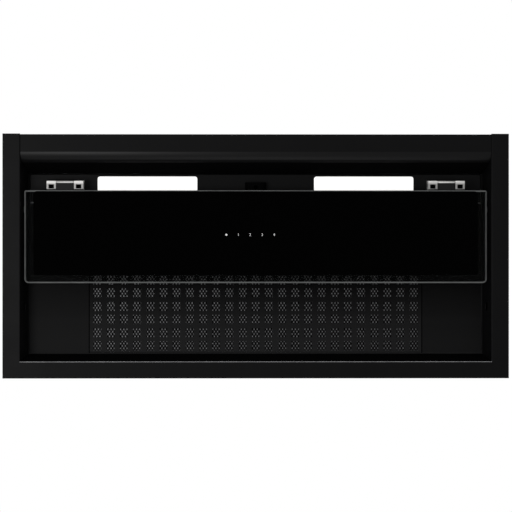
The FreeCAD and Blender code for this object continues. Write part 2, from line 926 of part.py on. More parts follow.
def filter_mesh():
    """Pack of expanded mesh layers inside the pan."""
    inset = filter_sheet + fit
    pack = slab(
        filter_half - inset, filter_front + inset, filter_rear - inset,
        filter_floor, filter_floor + mesh_thickness)
    return pack.cut(latch_pocket(fit, 0, casing_top))


def filter_back_grille():
    """Inner grille that holds the mesh down, with large openings."""
    inset = filter_sheet + fit
    low = filter_floor + mesh_thickness
    half = filter_half - inset
    y0 = filter_front + inset
    y1 = filter_rear - inset
    grille = slab(half, y0, y1, low, low + filter_sheet)
    x_step = (2 * half - grille_bar) / grille_columns
    y_step = (y1 - y0 - grille_bar) / grille_rows
    cutters = []
    for i in range(grille_columns):
        for j in range(grille_rows):
            x = -half + grille_bar + i * x_step
            y = y0 + grille_bar + j * y_step
            cutters.append(block(
                x, x + x_step - grille_bar, y, y + y_step - grille_bar,
                low - overrun, low + filter_sheet + overrun))
    return grille.cut(Part.makeCompound(cutters)).cut(latch_pocket(fit, 0, casing_top))


def grip_y():
    """Middle of the finger grip and of its neck."""
    return latch_front + latch_length / 2


def filter_latch():
    """Sliding bolt of the filter with its neck and finger grip."""
    body = slab(latch_half, latch_front, latch_rear, latch_base, latch_top)
    bolt = slab(bolt_half, strip_front + fit, latch_front, latch_base, latch_base + bolt_thickness)
    neck = slab(
        neck_half, grip_y() - neck_length / 2,
        grip_y() + neck_length / 2, recess_height - fit, latch_base)
    low = recess_height - fit - grip_height
    grip = slab(
        grip_half, grip_y() - grip_length / 2, grip_y() + grip_length / 2, low, recess_height - fit)
    grip = grip.makeFillet(grip_round, edges_at(grip, low))
    return joined([body, bolt, neck, grip])


def latch_guide():
    """Bridge that keeps the latch on the pan and backs its spring."""
    half = latch_half + fit + guide_wall
    rear = guide_rear + guide_wall
    shell = slab(half, latch_front, rear, filter_floor, guide_top)
    shell = shell.cut(slab(
        half - guide_wall, latch_front - overrun, guide_rear,
        filter_floor - overrun, guide_top - guide_wall))
    feet = slab(half + guide_flange, latch_front, rear, filter_floor, filter_floor + guide_wall)
    feet = feet.cut(slab(half - guide_wall, latch_front - overrun, guide_rear, 0, casing_top))
    return joined([shell, feet])


def latch_spring():
    """Coil spring between the latch and the back of its guide."""
    length = spring_length - 2 * spring_wire
    coil = Part.makeHelix(length / spring_turns, length, spring_radius)
    profile = Part.Wire(Part.makeCircle(spring_wire, V(spring_radius, 0, 0), ALONG_Y))
    spring = Part.Wire(coil.Edges).makePipeShell([profile], True, True)
    spring.rotate(V(0, 0, 0), ALONG_X, -90)
    spring.translate(V(0, latch_rear + spring_wire, latch_mid))
    return spring


def scroll_outline(grow):
    """Face of the spiral and its outlet, moved out by grow."""
    half = scroll_step / 2
    rear = scroll_rear + grow
    front = blower_y + cutoff_offset - grow
    radii = [scroll_radius - i * scroll_step + grow for i in range(4)]
    centres = [(half, half), (half, -half), (-half, -half), (-half, half)]

    def at(index, degrees):
        turn = math.radians(degrees)
        y = blower_y + centres[index][0] + radii[index] * math.cos(turn)
        z = blower_z + centres[index][1] + radii[index] * math.sin(turn)
        return V(0, y, z)

    reach = front - blower_y + half
    last = math.degrees(math.acos(reach / radii[3]))
    edges = [Part.makeLine(V(0, rear, box_roof), at(0, 0))]
    for index, start, stop in ((0, 0, -90), (1, -90, -180), (2, 180, 90), (3, 90, last)):
        edges.append(
            Part.Arc(at(index, start), at(index, (start + stop) / 2), at(index, stop)).toShape())
    edges.append(Part.makeLine(at(3, last), V(0, front, box_roof)))
    edges.append(Part.makeLine(V(0, front, box_roof), V(0, rear, box_roof)))
    return Part.Face(Part.Wire(edges))


def scroll_half_shell():
    """Right half of the scroll, open at the middle and at the outlet."""
    outer = scroll_outline(scroll_wall).extrude(V(scroll_half + scroll_wall, 0, 0))
    inner = scroll_outline(0).extrude(V(scroll_half + overrun, 0, 0))
    inner.translate(V(-overrun, 0, 0))
    edge = scroll_half + scroll_wall + scroll_flange
    rim_front = blower_y + cutoff_offset - scroll_wall - scroll_flange
    rim = block(
        0, edge, rim_front, scroll_rear + scroll_wall + scroll_flange, box_roof - scroll_wall, box_roof)
    shell = joined([outer, rim]).cut(inner)
    shell = shell.cut(
        axle(inlet_radius, -overrun, scroll_half + scroll_wall + overrun, blower_y, blower_z))
    mouth = block(
        -overrun, scroll_half, blower_y + cutoff_offset, scroll_rear, scroll_top, box_top + overrun)
    shell = shell.cut(mouth)
    for x, y, z in bush_places():
        hole_end = scroll_half + scroll_wall + overrun
        shell = shell.cut(axle(motor_screw_radius + run_fit, scroll_half - overrun, hole_end, y, z))
    return shell


def bush_places():
    """Feet of the motor bracket on the side of the scroll."""
    turns = [math.pi / 2 + math.tau * i / arm_count for i in range(arm_count)]
    return [
        (bush_start, blower_y + bush_reach * math.cos(t), blower_z + bush_reach * math.sin(t))
        for t in turns
    ]


def impeller():
    """Double-inlet drum: centre disc on a hub, a ring at each end and a cage of curved blades."""
    hub = axle(hub_radius, -hub_half, hub_half, blower_y, blower_z)
    disc = axle(impeller_radius - run_fit, -disc_sheet / 2, disc_sheet / 2, blower_y, blower_z)
    shapes = [disc, hub]
    inner = impeller_radius - blade_chord
    for x in (-impeller_half, impeller_half - ring_height):
        ring = axle(impeller_radius, x, x + ring_height, blower_y, blower_z)
        shapes.append(ring.cut(axle(inner, x - overrun, x + overrun + ring_height, blower_y, blower_z)))
    span = 2 * impeller_half - ring_height
    middle = (impeller_radius + inner) / 2
    blade_length = (blade_chord - blade_sheet) / math.cos(blade_angle) - blade_sheet
    for i in range(blade_count):
        blade = block(
            -span / 2, span / 2, middle - blade_length / 2,
            middle + blade_length / 2, -blade_sheet / 2, blade_sheet / 2)
        blade.rotate(V(0, middle, 0), ALONG_X, math.degrees(blade_angle))
        blade.rotate(V(0, 0, 0), ALONG_X, i * math.degrees(math.tau) / blade_count)
        blade.translate(V(0, blower_y, blower_z))
        shapes.append(blade)
    drum = joined(shapes)
    return drum.cut(axle(shaft_radius, -impeller_half, impeller_half, blower_y, blower_z))


def motor_shaft():
    """Shaft with the collet that locks the drum."""
    tail = -hub_half - shaft_tail
    rod = axle(shaft_radius, tail, motor_start + shaft_depth, blower_y, blower_z)
    return joined([rod, axle(collet_radius, tail, -hub_half, blower_y, blower_z)])


def motor_body():
    """Motor can inside the drum, with the boss that carries its bracket."""
    can = axle(motor_radius, motor_start, motor_end, blower_y, blower_z)
    rims = [e for e in can.Edges if e.Closed]
    can = can.makeFillet(motor_round, rims)
    boss = axle(boss_radius, motor_end, bracket_start, blower_y, blower_z)
    bore = axle(shaft_radius + run_fit, 0, motor_start + shaft_depth + seam, blower_y, blower_z)
    return joined([can, boss]).cut(bore)


def motor_bracket():
    """Three-armed bracket from the motor boss to the rubber bushes."""
    shapes = [
        axle(boss_radius + arm_sheet, bracket_start, bracket_start + arm_sheet, blower_y, blower_z)]
    for i in range(arm_count):
        arm = block(
            bracket_start, bracket_start + arm_sheet, 0,
            bush_reach + bush_radius, -arm_width / 2, arm_width / 2)
        arm.rotate(V(0, 0, 0), ALONG_X, 90 + i * math.degrees(math.tau) / arm_count)
        arm.translate(V(0, blower_y, blower_z))
        shapes.append(arm)
    shape = joined(shapes)
    for x, y, z in bush_places():
        shape = shape.cut(axle(motor_screw_radius + run_fit, bush_start, bracket_start + overrun, y, z))
    return shape


def motor_bush(y, z):
    """Rubber bush between scroll and bracket."""
    bush = axle(bush_radius, bush_start, bracket_start, y, z)
    return bush.cut(
        axle(motor_screw_radius + run_fit, bush_start - overrun, bracket_start + overrun, y, z))


def motor_screw(y, z):
    """Screw through bracket and bush into the scroll."""
    seat = bracket_start + arm_sheet
    head = axle(motor_head_radius, seat, seat + motor_head_height, y, z)
    return joined([head, axle(motor_screw_radius, scroll_half, seat, y, z)])


def capacitor_place():
    """Axis of the run capacitor, beside the rear wall of the motor box."""
    return capacitor_x, box_rear - box_sheet - clip_wall - capacitor_radius


def motor_capacitor():
    """Run capacitor of the motor."""
    x, y = capacitor_place()
    low = casing_top + capacitor_height
    can = post(capacitor_radius, x, y, low, low + capacitor_length)
    return can.makeFillet(clip_wall, edges_at(can, low + capacitor_length))


def capacitor_clip():
    """Strap that holds the capacitor to the rear wall."""
    x, y = capacitor_place()
    low = casing_top + capacitor_height + (capacitor_length - clip_height) / 2
    strap = post(capacitor_radius + clip_wall, x, y, low, low + clip_height)
    wide = capacitor_radius + 2 * clip_wall
    plate = block(
        x - wide, x + wide, y + capacitor_radius, box_rear - box_sheet, low, low + clip_height)
    return joined([strap, plate]).cut(post(capacitor_radius + run_fit, x, y, 0, box_top))


def control_block(extra, z0, z1):
    """Box around the control electronics."""
    return block(
        control_x - control_half - extra, control_x + control_half + extra,
        control_front - extra, control_rear + extra, z0, z1)


def control_box_base():
    """Tray on the roof of the recess that holds the power board on stand-offs."""
    tray = control_block(0, roof_top, control_top)
    tray = tray.makeFillet(control_round, upright_edges(tray))
    tray = tray.cut(control_block(-control_wall, roof_top + control_wall, control_top + overrun))
    legs = []
    for x_way in (-1, 1):
        for y_way in (-1, 1):
            x = control_x + x_way * (control_half - control_wall - power_inset - standoff_radius)
            y = control_y + y_way * (control_depth / 2 - control_wall - power_inset - standoff_radius)
            legs.append(post(
                standoff_radius, x, y, roof_top + control_wall,
                roof_top + control_wall + standoff_height))
    return joined([tray] + legs)


def control_box_lid():
    """Lid with a spigot inside the tray."""
    lid = control_block(0, control_top, control_top + lid_height)
    lid = lid.makeFillet(control_round, upright_edges(lid))
    inset = control_wall + fit
    ring = control_block(-inset, control_top - lid_height, control_top)
    ring = ring.cut(
        control_block(-inset - control_wall, control_top - lid_height - overrun, control_top + overrun))
    return joined([lid, ring])


def power_board():
    """Board with transformer and relays."""
    low = roof_top + control_wall + standoff_height
    top = low + power_board_sheet
    shapes = [control_block(-control_wall - power_inset / 2, low, top)]
    front = control_front + control_wall + 2 * power_inset
    shapes.append(block(
        control_x - transformer_half, control_x + transformer_half,
        front, front + transformer_depth, top, top + transformer_height))
    row = front + transformer_depth + power_inset
    for i in range(relay_count):
        y = row + i * relay_pitch
        shapes.append(block(
            control_x - relay_half, control_x + relay_half,
            y, y + relay_depth, top, top + relay_height))
    return joined(shapes)


def terminal_block():
    """Mains terminals on the roof of the recess, below the gland."""
    front = terminal_y - terminal_depth / 2
    shape = block(
        terminal_x - terminal_half, terminal_x + terminal_half, front,
        front + terminal_depth, roof_top, roof_top + terminal_height)
    pitch = 2 * terminal_half / terminal_count
    for i in range(terminal_count):
        x = terminal_x + (i - (terminal_count - 1) / 2) * pitch
        shape = shape.cut(post(
            terminal_hole, x, terminal_y, roof_top + terminal_height / 2,
            roof_top + terminal_height + overrun))
    return shape


def cable_gland():
    """Gland for the mains cable through the roof of the casing."""
    shank = post(gland_radius, terminal_x, gland_y, casing_roof - gland_tail, casing_top)
    backnut = post(gland_flange, terminal_x, gland_y, casing_roof - gland_nut_height, casing_roof)
    collar = post(gland_flange, terminal_x, gland_y, casing_top, casing_top + gland_flange_height)
    cap_top = casing_top + gland_flange_height + gland_cap_height
    cap = post(gland_cap_radius, terminal_x, gland_y, casing_top + gland_flange_height, cap_top)
    cap = cap.makeFillet(gland_cap_round, edges_at(cap, cap_top))
    return joined([shank, backnut, collar, cap]).cut(post(gland_bore, terminal_x, gland_y, 0, box_top))


def duct_collar():
    """Spigot for the duct, with the ledge that the backdraft flaps rest on."""
    base = post(collar_radius + collar_flange, 0, collar_y, box_top, box_top + collar_base)
    tube = post(collar_radius, 0, collar_y, box_top, collar_top)
    ledge_top = pin_z - valve_sheet / 2 - fit
    shape = joined([base, tube]).cut(
        post(collar_inner, 0, collar_y, box_top - overrun, collar_top + overrun))
    ledge = post(collar_inner + run_fit, 0, collar_y, ledge_top - ledge_height, ledge_top)
    ledge = ledge.cut(post(collar_inner - ledge_width, 0, collar_y, box_top, collar_top))
    ledge = ledge.cut(
        slab(collar_radius, collar_y - ledge_gap, collar_y + ledge_gap, box_top, collar_top))
    shape = joined([shape, ledge])
    reach = collar_radius + overrun
    shape = shape.cut(axle(pin_radius + run_fit, -reach, reach, collar_y, pin_z))
    for x, y in collar_screw_places():
        shape = shape.cut(post(box_screw_radius + run_fit, x, y, box_top - overrun, box_top + overrun))
    return shape


def backdraft_pin():
    """Pin across the collar."""
    reach = collar_radius - pin_inset
    return axle(pin_radius, -reach, reach, collar_y, pin_z)


def backdraft_flap(offset):
    """Rear half-disc flap with its knuckles shifted along the pin."""
    half_sheet = valve_sheet / 2
    disc = post(valve_radius, 0, collar_y, pin_z - half_sheet, pin_z + half_sheet)
    keep = slab(collar_radius, collar_y + valve_inset, collar_y + collar_radius, box_top, collar_top)
    shapes = [disc.common(keep)]
    for way in (-1, 1):
        x = way * knuckle_pitch + offset
        knuckle = axle(knuckle_radius, x - knuckle_length / 2, x + knuckle_length / 2, collar_y, pin_z)
        web = block(
            x - knuckle_length / 2, x + knuckle_length / 2,
            collar_y, collar_y + valve_inset + valve_sheet,
            pin_z - half_sheet, pin_z + half_sheet)
        shapes.append(knuckle.fuse(web))
    return joined(shapes).cut(
        axle(pin_radius + run_fit, -collar_radius, collar_radius, collar_y, pin_z))


def turned_round(shape):
    """The same flap on the front half of the collar."""
    other = shape.copy()
    other.rotate(V(0, collar_y, 0), ALONG_Z, 180)
    return other


def moved(shape, x):
    """Copy shifted across the hood."""
    other = shape.copy()
    other.translate(V(x, 0, 0))
    return other


right_shell = scroll_half_shell()
rear_flap = backdraft_flap(knuckle_length / 2 + fit / 2)

pieces = {
    "canopy_tub": canopy_tub(),
    "front_trim": front_trim(),
    "trim_nuts": gathered(nut(x) for x in stud_places()),
    "lower_casing": lower_casing(),
    "motor_box": motor_box(),
    "motor_box_screws": gathered(box_screw(x, y, casing_top + box_sheet) for x, y in box_screw_places()),
    
    
    
    
    
    "light_channel": light_channel(),
    "cable_boot": cable_boot(),
    "flap_glass": flap_glass(),
    "flap_film": slab(film_half, film_front, film_rear, film_z, backing_z),
    "flap_backing_plate": flap_backing_plate(),
    "touch_board": touch_window(0, backing_z, backing_z + touch_board_sheet),
    "touch_housing": touch_housing(),
    "filter_cover": filter_cover(),
    "filter_mesh": filter_mesh(),
    "filter_back_grille": filter_back_grille(),
    "latch_guide": latch_guide(),
    "latch_spring": latch_spring(),
    "filter_latch": filter_latch(),
    "scroll_right": right_shell,
    "scroll_left": flipped(right_shell),
    "impeller": impeller(),
    "motor_shaft": motor_shaft(),
    "motor_body": motor_body(),
    "motor_bracket": motor_bracket(),
    "motor_bushes": gathered(motor_bush(y, z) for x, y, z in bush_places()),
    "motor_screws": gathered(motor_screw(y, z) for x, y, z in bush_places()),
    "motor_capacitor": motor_capacitor(),
    "capacitor_clip": capacitor_clip(),
    "control_box_base": control_box_base(),
    "control_box_lid": control_box_lid(),
    "power_board": power_board(),
    "terminal_block": terminal_block(),
    "cable_gland": cable_gland(),
    "duct_collar": duct_collar(),
    "collar_screws": gathered(box_screw(x, y, box_top + collar_base) for x, y in collar_screw_places()),
    "backdraft_pin": backdraft_pin(),
    "backdraft_flap_rear": rear_flap,
    "backdraft_flap_front": turned_round(rear_flap),
}
for name, side in SIDES:
    pieces["led_lens_" + name] = moved(led_lens(), side * lamp_x)
    pieces["led_holder_" + name] = moved(led_holder(), side * lamp_x)
    pieces["led_board_" + name] = moved(led_board(), side * lamp_x)
    pieces["hinge_base_" + name] = moved(hinge_base(), side * hinge_x)
    pieces["hinge_leaf_" + name] = moved(hinge_leaf(), side * hinge_x)
    pieces["hinge_pin_" + name] = moved(
        axle(hinge_pin_radius, -hinge_half, hinge_half, axis_y, axis_z), side * hinge_x)
    pieces["hinge_screws_" + name] = gathered(hinge_screw(x) for x in hinge_screw_places(side))
    pieces["leaf_screws_" + name] = gathered(leaf_screw(x) for x in leaf_screw_places(side))
    pieces["catch_post_" + name] = catch_post() if side > 0 else flipped(catch_post())
    pieces["catch_magnet_" + name] = catch_magnet() if side > 0 else flipped(catch_magnet())

os.makedirs("parts", exist_ok=True)
for name, shape in pieces.items():
    shape.exportStep("parts/" + name + ".step")
    print(name, shape.isValid(), len(shape.Solids), round(shape.Volume))
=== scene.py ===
import json
import math
import bpy
import bmesh
from mathutils import Matrix, Vector


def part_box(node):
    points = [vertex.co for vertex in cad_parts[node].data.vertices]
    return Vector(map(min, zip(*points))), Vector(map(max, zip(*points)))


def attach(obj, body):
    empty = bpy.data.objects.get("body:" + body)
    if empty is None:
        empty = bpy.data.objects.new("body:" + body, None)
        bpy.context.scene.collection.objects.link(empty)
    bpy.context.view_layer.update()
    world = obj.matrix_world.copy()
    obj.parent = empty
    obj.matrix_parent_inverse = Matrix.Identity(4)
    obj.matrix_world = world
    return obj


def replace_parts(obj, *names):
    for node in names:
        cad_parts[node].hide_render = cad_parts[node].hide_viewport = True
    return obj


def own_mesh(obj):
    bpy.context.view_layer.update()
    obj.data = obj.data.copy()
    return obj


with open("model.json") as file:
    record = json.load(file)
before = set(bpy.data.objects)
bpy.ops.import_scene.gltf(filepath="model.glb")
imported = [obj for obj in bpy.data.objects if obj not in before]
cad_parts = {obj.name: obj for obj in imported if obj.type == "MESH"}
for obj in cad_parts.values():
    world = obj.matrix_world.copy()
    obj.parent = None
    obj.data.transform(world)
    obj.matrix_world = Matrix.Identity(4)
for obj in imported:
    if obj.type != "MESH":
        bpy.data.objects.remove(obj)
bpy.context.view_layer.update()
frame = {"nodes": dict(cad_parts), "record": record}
nodes = frame["nodes"]
MM = 0.001

# boxes of the nodes that place a finish or a new piece
glass_low, glass_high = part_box("flap_glass")
film_low, film_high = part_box("flap_film")
cover_low, cover_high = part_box("filter_cover")
mesh_low, mesh_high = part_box("filter_mesh")
trim_low, trim_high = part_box("front_trim")
pin_low, pin_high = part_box("hinge_pin_left")
guide_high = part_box("latch_guide")[1]
tub_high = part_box("canopy_tub")[1]
channel_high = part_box("light_channel")[1]

# settings that all textures share
grain_depth = 0.2 * MM
grain_detail = 3.0
patch_detail = 2.0
patch_low_share = 0.3
patch_high_share = 0.7


def rgba(value):
    """Four numbers of a colour, or of a grey that is given as one number."""
    if isinstance(value, tuple):
        return (*value, 1.0)
    return (value, value, value, 1.0)


def shader_of(mat):
    """The shader that a material's textures drive."""
    return mat.node_tree.nodes["Principled BSDF"]


def material(name, color, rough, metal=0.0, spec=0.5):
    """Plain shader with its constants set on its own sockets."""
    mat = bpy.data.materials.new(name)
    mat.use_nodes = True
    shader = shader_of(mat)
    shader.inputs["Base Color"].default_value = rgba(color)
    shader.inputs["Roughness"].default_value = rough
    shader.inputs["Metallic"].default_value = metal
    shader.inputs["Specular IOR Level"].default_value = spec
    return mat


def noise(mat, scale, detail, stretch=(1, 1, 1)):
    """Noise in object space, stretched along the axes."""
    tree = mat.node_tree
    coord = tree.nodes.new("ShaderNodeTexCoord")
    mapping = tree.nodes.new("ShaderNodeMapping")
    mapping.inputs["Scale"].default_value = stretch
    tex = tree.nodes.new("ShaderNodeTexNoise")
    tex.inputs["Scale"].default_value = scale
    tex.inputs["Detail"].default_value = detail
    tree.links.new(coord.outputs["Object"], mapping.inputs["Vector"])
    tree.links.new(mapping.outputs["Vector"], tex.inputs["Vector"])
    return tex


def bumpy(mat, scale, strength, stretch=(1, 1, 1)):
    """Fine surface grain."""
    tree = mat.node_tree
    tex = noise(mat, scale, grain_detail, stretch)
    bump = tree.nodes.new("ShaderNodeBump")
    bump.inputs["Strength"].default_value = strength
    bump.inputs["Distance"].default_value = grain_depth
    tree.links.new(tex.outputs["Fac"], bump.inputs["Height"])
    tree.links.new(bump.outputs["Normal"], shader_of(mat).inputs["Normal"])


def ramped(mat, socket, low, high, scale):
    """Let one socket vary between two values in soft patches."""
    tree = mat.node_tree
    tex = noise(mat, scale, patch_detail)
    ramp = tree.nodes.new("ShaderNodeValToRGB")
    ramp.color_ramp.elements[0].position = patch_low_share
    ramp.color_ramp.elements[1].position = patch_high_share
    ramp.color_ramp.elements[0].color = rgba(low)
    ramp.color_ramp.elements[1].color = rgba(high)
    tree.links.new(tex.outputs["Fac"], ramp.inputs["Fac"])
    tree.links.new(ramp.outputs["Color"], shader_of(mat).inputs[socket])


def graded(mat, start, stop, front, rear):
    """Let the colour change from front to rear between two places."""
    tree = mat.node_tree
    coord = tree.nodes.new("ShaderNodeTexCoord")
    axes = tree.nodes.new("ShaderNodeSeparateXYZ")
    share = tree.nodes.new("ShaderNodeMapRange")
    share.inputs["From Min"].default_value = start
    share.inputs["From Max"].default_value = stop
    ramp = tree.nodes.new("ShaderNodeValToRGB")
    ramp.color_ramp.elements[0].color = rgba(front)
    ramp.color_ramp.elements[1].color = rgba(rear)
    tree.links.new(coord.outputs["Object"], axes.inputs["Vector"])
    tree.links.new(axes.outputs["Y"], share.inputs["Value"])
    tree.links.new(share.outputs["Result"], ramp.inputs["Fac"])
    tree.links.new(ramp.outputs["Color"], shader_of(mat).inputs["Base Color"])


def spangled(mat, scale, dark, pale, smooth, rough):
    """Zinc crystals, each with its own tone and its own roughness."""
    tree = mat.node_tree
    coord = tree.nodes.new("ShaderNodeTexCoord")
    cells = tree.nodes.new("ShaderNodeTexVoronoi")
    cells.inputs["Scale"].default_value = scale
    split = tree.nodes.new("ShaderNodeSeparateColor")
    tone = tree.nodes.new("ShaderNodeValToRGB")
    tone.color_ramp.elements[0].color = rgba(dark)
    tone.color_ramp.elements[1].color = rgba(pale)
    gloss = tree.nodes.new("ShaderNodeMapRange")
    gloss.inputs["To Min"].default_value = smooth
    gloss.inputs["To Max"].default_value = rough
    tree.links.new(coord.outputs["Object"], cells.inputs["Vector"])
    tree.links.new(cells.outputs["Color"], split.inputs["Color"])
    tree.links.new(split.outputs["Red"], tone.inputs["Fac"])
    tree.links.new(split.outputs["Green"], gloss.inputs["Value"])
    tree.links.new(tone.outputs["Color"], shader_of(mat).inputs["Base Color"])
    tree.links.new(gloss.outputs["Result"], shader_of(mat).inputs["Roughness"])


# finishes of the record's material slots
mats = {}

mat = material("powder_black", (0.0024, 0.0024, 0.0026), rough=0.42, spec=0.10)
bumpy(mat, scale=1400.0, strength=0.10)
ramped(mat, "Roughness", low=0.38, high=0.46, scale=35.0)
mats["black_paint"] = mat

# the flap's shadow is painted into the recess paint, which is darker under the flap than behind it
shade_start = glass_high.y
shade_stop = cover_high.y
mat = material("filter_painted_shadow", (0.0030, 0.0030, 0.0032), rough=0.46, spec=0.05)
bumpy(mat, scale=1600.0, strength=0.08)
graded(mat, shade_start, shade_stop, front=(0.0010, 0.0010, 0.0011), rear=(0.0180, 0.0180, 0.0185))
mats["filter_paint"] = mat

mat = material("mesh_aluminium", (0.10, 0.10, 0.103), rough=0.38, metal=1.0)
ramped(mat, "Base Color", low=(0.13, 0.13, 0.133), high=(0.205, 0.205, 0.21), scale=160.0)
mats["filter_mesh"] = mat

mat = material("galvanised", (0.56, 0.58, 0.60), rough=0.40, metal=1.0)
spangled(mat, scale=190.0, dark=(0.37, 0.385, 0.40), pale=(0.46, 0.475, 0.49), smooth=0.34, rough=0.50)
mats["casing_steel"] = mat

mat = material("moulded_black", (0.012, 0.012, 0.0125), rough=0.5, spec=0.35)
bumpy(mat, scale=1800.0, strength=0.12)
mats["black_plastic"] = mat

mat = material("moulded_grey", (0.16, 0.16, 0.17), rough=0.5)
bumpy(mat, scale=1200.0, strength=0.08)
mats["scroll_plastic"] = mat

mat = material("moulded_dark", (0.09, 0.09, 0.10), rough=0.45)
bumpy(mat, scale=1200.0, strength=0.06)
mats["impeller_plastic"] = mat

lamp_strength = 0.75
mat = material("lamp_opal", 0.90, rough=0.35)
ramped(mat, "Base Color", low=0.88, high=0.92, scale=25.0)
shader_of(mat).inputs["Emission Color"].default_value = rgba((1.0, 0.99, 0.97))
shader_of(mat).inputs["Emission Strength"].default_value = lamp_strength
mats["lamp_lens"] = mat

mat = material("board_white", (0.85, 0.85, 0.83), rough=0.45)
ramped(mat, "Base Color", low=(0.82, 0.82, 0.80), high=(0.88, 0.88, 0.86), scale=120.0)
mats["lamp_board"] = mat

mat = material("board_green", (0.03, 0.20, 0.09), rough=0.38)
ramped(mat, "Base Color", low=(0.02, 0.15, 0.06), high=(0.04, 0.24, 0.11), scale=140.0)
mats["circuit_board"] = mat

# a painted highlight: the hinge metal is painted bright up to the pin and greyer behind it
mat = material("satin_nickel", (0.53, 0.52, 0.505), rough=0.52, metal=1.0)
bumpy(mat, scale=900.0, strength=0.10)
graded(mat, pin_low.y, pin_high.y, front=(0.90, 0.89, 0.87), rear=(0.40, 0.395, 0.385))
mats["hinge_metal"] = mat

mat = material("zinc_plate", (0.58, 0.585, 0.59), rough=0.32, metal=1.0)
bumpy(mat, scale=700.0, strength=0.08)
mats["fastener_steel"] = mat

# the pane is lightly smoked and lets light straight through, so what lies behind stays sharp
glass_alpha = 0.22
mat = material("clear_glass", (0.004, 0.0046, 0.0044), rough=0.03, spec=0.04)
shader_of(mat).inputs["Alpha"].default_value = glass_alpha
mats["flap_glass"] = mat

mat = material("film_black", 0.0002, rough=0.12, spec=0.015)
ramped(mat, "Roughness", low=0.10, high=0.14, scale=18.0)
mats["flap_film"] = mat

mat = material("backing_black", 0.0045, rough=0.5, spec=0.2)
bumpy(mat, scale=1400.0, strength=0.08)
mats["backing_steel"] = mat

mat = material("rubber_black", 0.0018, rough=0.7, spec=0.08)
bumpy(mat, scale=900.0, strength=0.15)
mats["rubber"] = mat

mat = material("cast_aluminium", (0.56, 0.565, 0.57), rough=0.5, metal=1.0)
bumpy(mat, scale=500.0, strength=0.2)
mats["motor_metal"] = mat

mat = material("zinc_sheet", (0.52, 0.53, 0.54), rough=0.38, metal=1.0)
bumpy(mat, scale=300.0, strength=0.08, stretch=(1, 8, 1))
mats["bracket_steel"] = mat

mat = material("can_white", (0.74, 0.74, 0.72), rough=0.3)
bumpy(mat, scale=600.0, strength=0.04)
mats["capacitor_can"] = mat

mat = material("moulded_pale", (0.62, 0.62, 0.60), rough=0.48)
bumpy(mat, scale=1200.0, strength=0.08)
mats["control_plastic"] = mat

mat = material("moulded_gland", (0.03, 0.03, 0.032), rough=0.42)
bumpy(mat, scale=1200.0, strength=0.08)
mats["gland_plastic"] = mat

mat = material("nickel_plate", (0.68, 0.675, 0.66), rough=0.18, metal=1.0)
bumpy(mat, scale=800.0, strength=0.04)
mats["magnet"] = mat

# finishes of new pieces and of single faces
mark_mat = material("mark_white", 0.80, rough=0.5)
ramped(mark_mat, "Base Color", low=0.77, high=0.83, scale=300.0)

edge_mat = material("glass_edge", (0.14, 0.144, 0.143), rough=0.28, spec=0.3)
ramped(edge_mat, "Base Color", low=(0.115, 0.119, 0.118), high=(0.165, 0.17, 0.168), scale=60.0)

# painted shade: the mesh's legs are darker than its knots
leg_shade_mat = material("mesh_leg_painted_shade", (0.06, 0.06, 0.062), rough=0.45, metal=1.0)
ramped(leg_shade_mat, "Base Color", low=(0.045, 0.045, 0.046), high=(0.075, 0.075, 0.077), scale=220.0)

# painted shade: the deeper mesh layers are dark
deep_shade_mat = material("mesh_deep_painted_shade", (0.016, 0.016, 0.0165), rough=0.45, metal=1.0)
ramped(deep_shade_mat, "Base Color", low=(0.004, 0.004, 0.0042), high=(0.014, 0.014, 0.0145), scale=220.0)

matte_mat = material("slope_black", (0.0020, 0.0020, 0.0021), rough=0.8, spec=0.0)
bumpy(matte_mat, scale=1400.0, strength=0.10)

# painted shadow of the flap on the recess roof, darker towards the front
roof_shadow_mat = material("roof_painted_shadow", (0.0030, 0.0030, 0.0032), rough=0.46, spec=0.06)
bumpy(roof_shadow_mat, scale=1400.0, strength=0.10)
graded(roof_shadow_mat, shade_start, shade_stop, front=(0.0010, 0.0010, 0.0011), rear=(0.0100, 0.0100, 0.0103))

gloss_mat = material("trim_gloss", (0.0024, 0.0024, 0.0026), rough=0.40, spec=0.18)
bumpy(gloss_mat, scale=1400.0, strength=0.10)

dim_mat = material("trim_dim", (0.0024, 0.0024, 0.0026), rough=0.55, spec=0.08)
bumpy(dim_mat, scale=1400.0, strength=0.10)

bend_mat = material("bend_black", (0.0050, 0.0050, 0.0052), rough=0.8, spec=0.0)
bumpy(bend_mat, scale=1400.0, strength=0.10)

# painted highlight along the round of the recess's rear lip
lip_highlight_mat = material("lip_painted_highlight", (0.24, 0.24, 0.247), rough=0.35, metal=0.5)
ramped(lip_highlight_mat, "Base Color", low=(0.19, 0.19, 0.196), high=(0.29, 0.29, 0.298), scale=90.0)

# painted highlight along the lamp panel's rear bend
bend_highlight_mat = material("bend_painted_highlight", (0.55, 0.555, 0.56), rough=0.32, metal=1.0)
ramped(bend_highlight_mat, "Base Color", low=(0.50, 0.505, 0.51), high=(0.60, 0.605, 0.61), scale=90.0)

slots = {row["node"]: row["material_slot"] for row in frame["record"]["subparts"]}
for name, obj in nodes.items():
    obj.data.materials.clear()
    obj.data.materials.append(mats[slots[name]])


def refinish(mesh, mat, chosen):
    """Give the chosen faces of a mesh another finish."""
    mesh.materials.append(mat)
    for face in mesh.polygons:
        if chosen(face):
            face.material_index = len(mesh.materials) - 1


# limits on the share of a face's normal that points along an axis
roll_start_share = 0.02
bend_start_share = 0.05
down_share = 0.1
roll_gloss_share = 0.62
lip_share = 0.75
wall_share = 0.8
roll_dim_share = 0.82
flat_share = 0.9
level_share = 0.97
pane_flat_share = 0.98


def on_roll(face):
    """Whether a face of the trim lies on its roll or on the slope above it."""
    return face.center.y < 0 and face.normal.z < 0


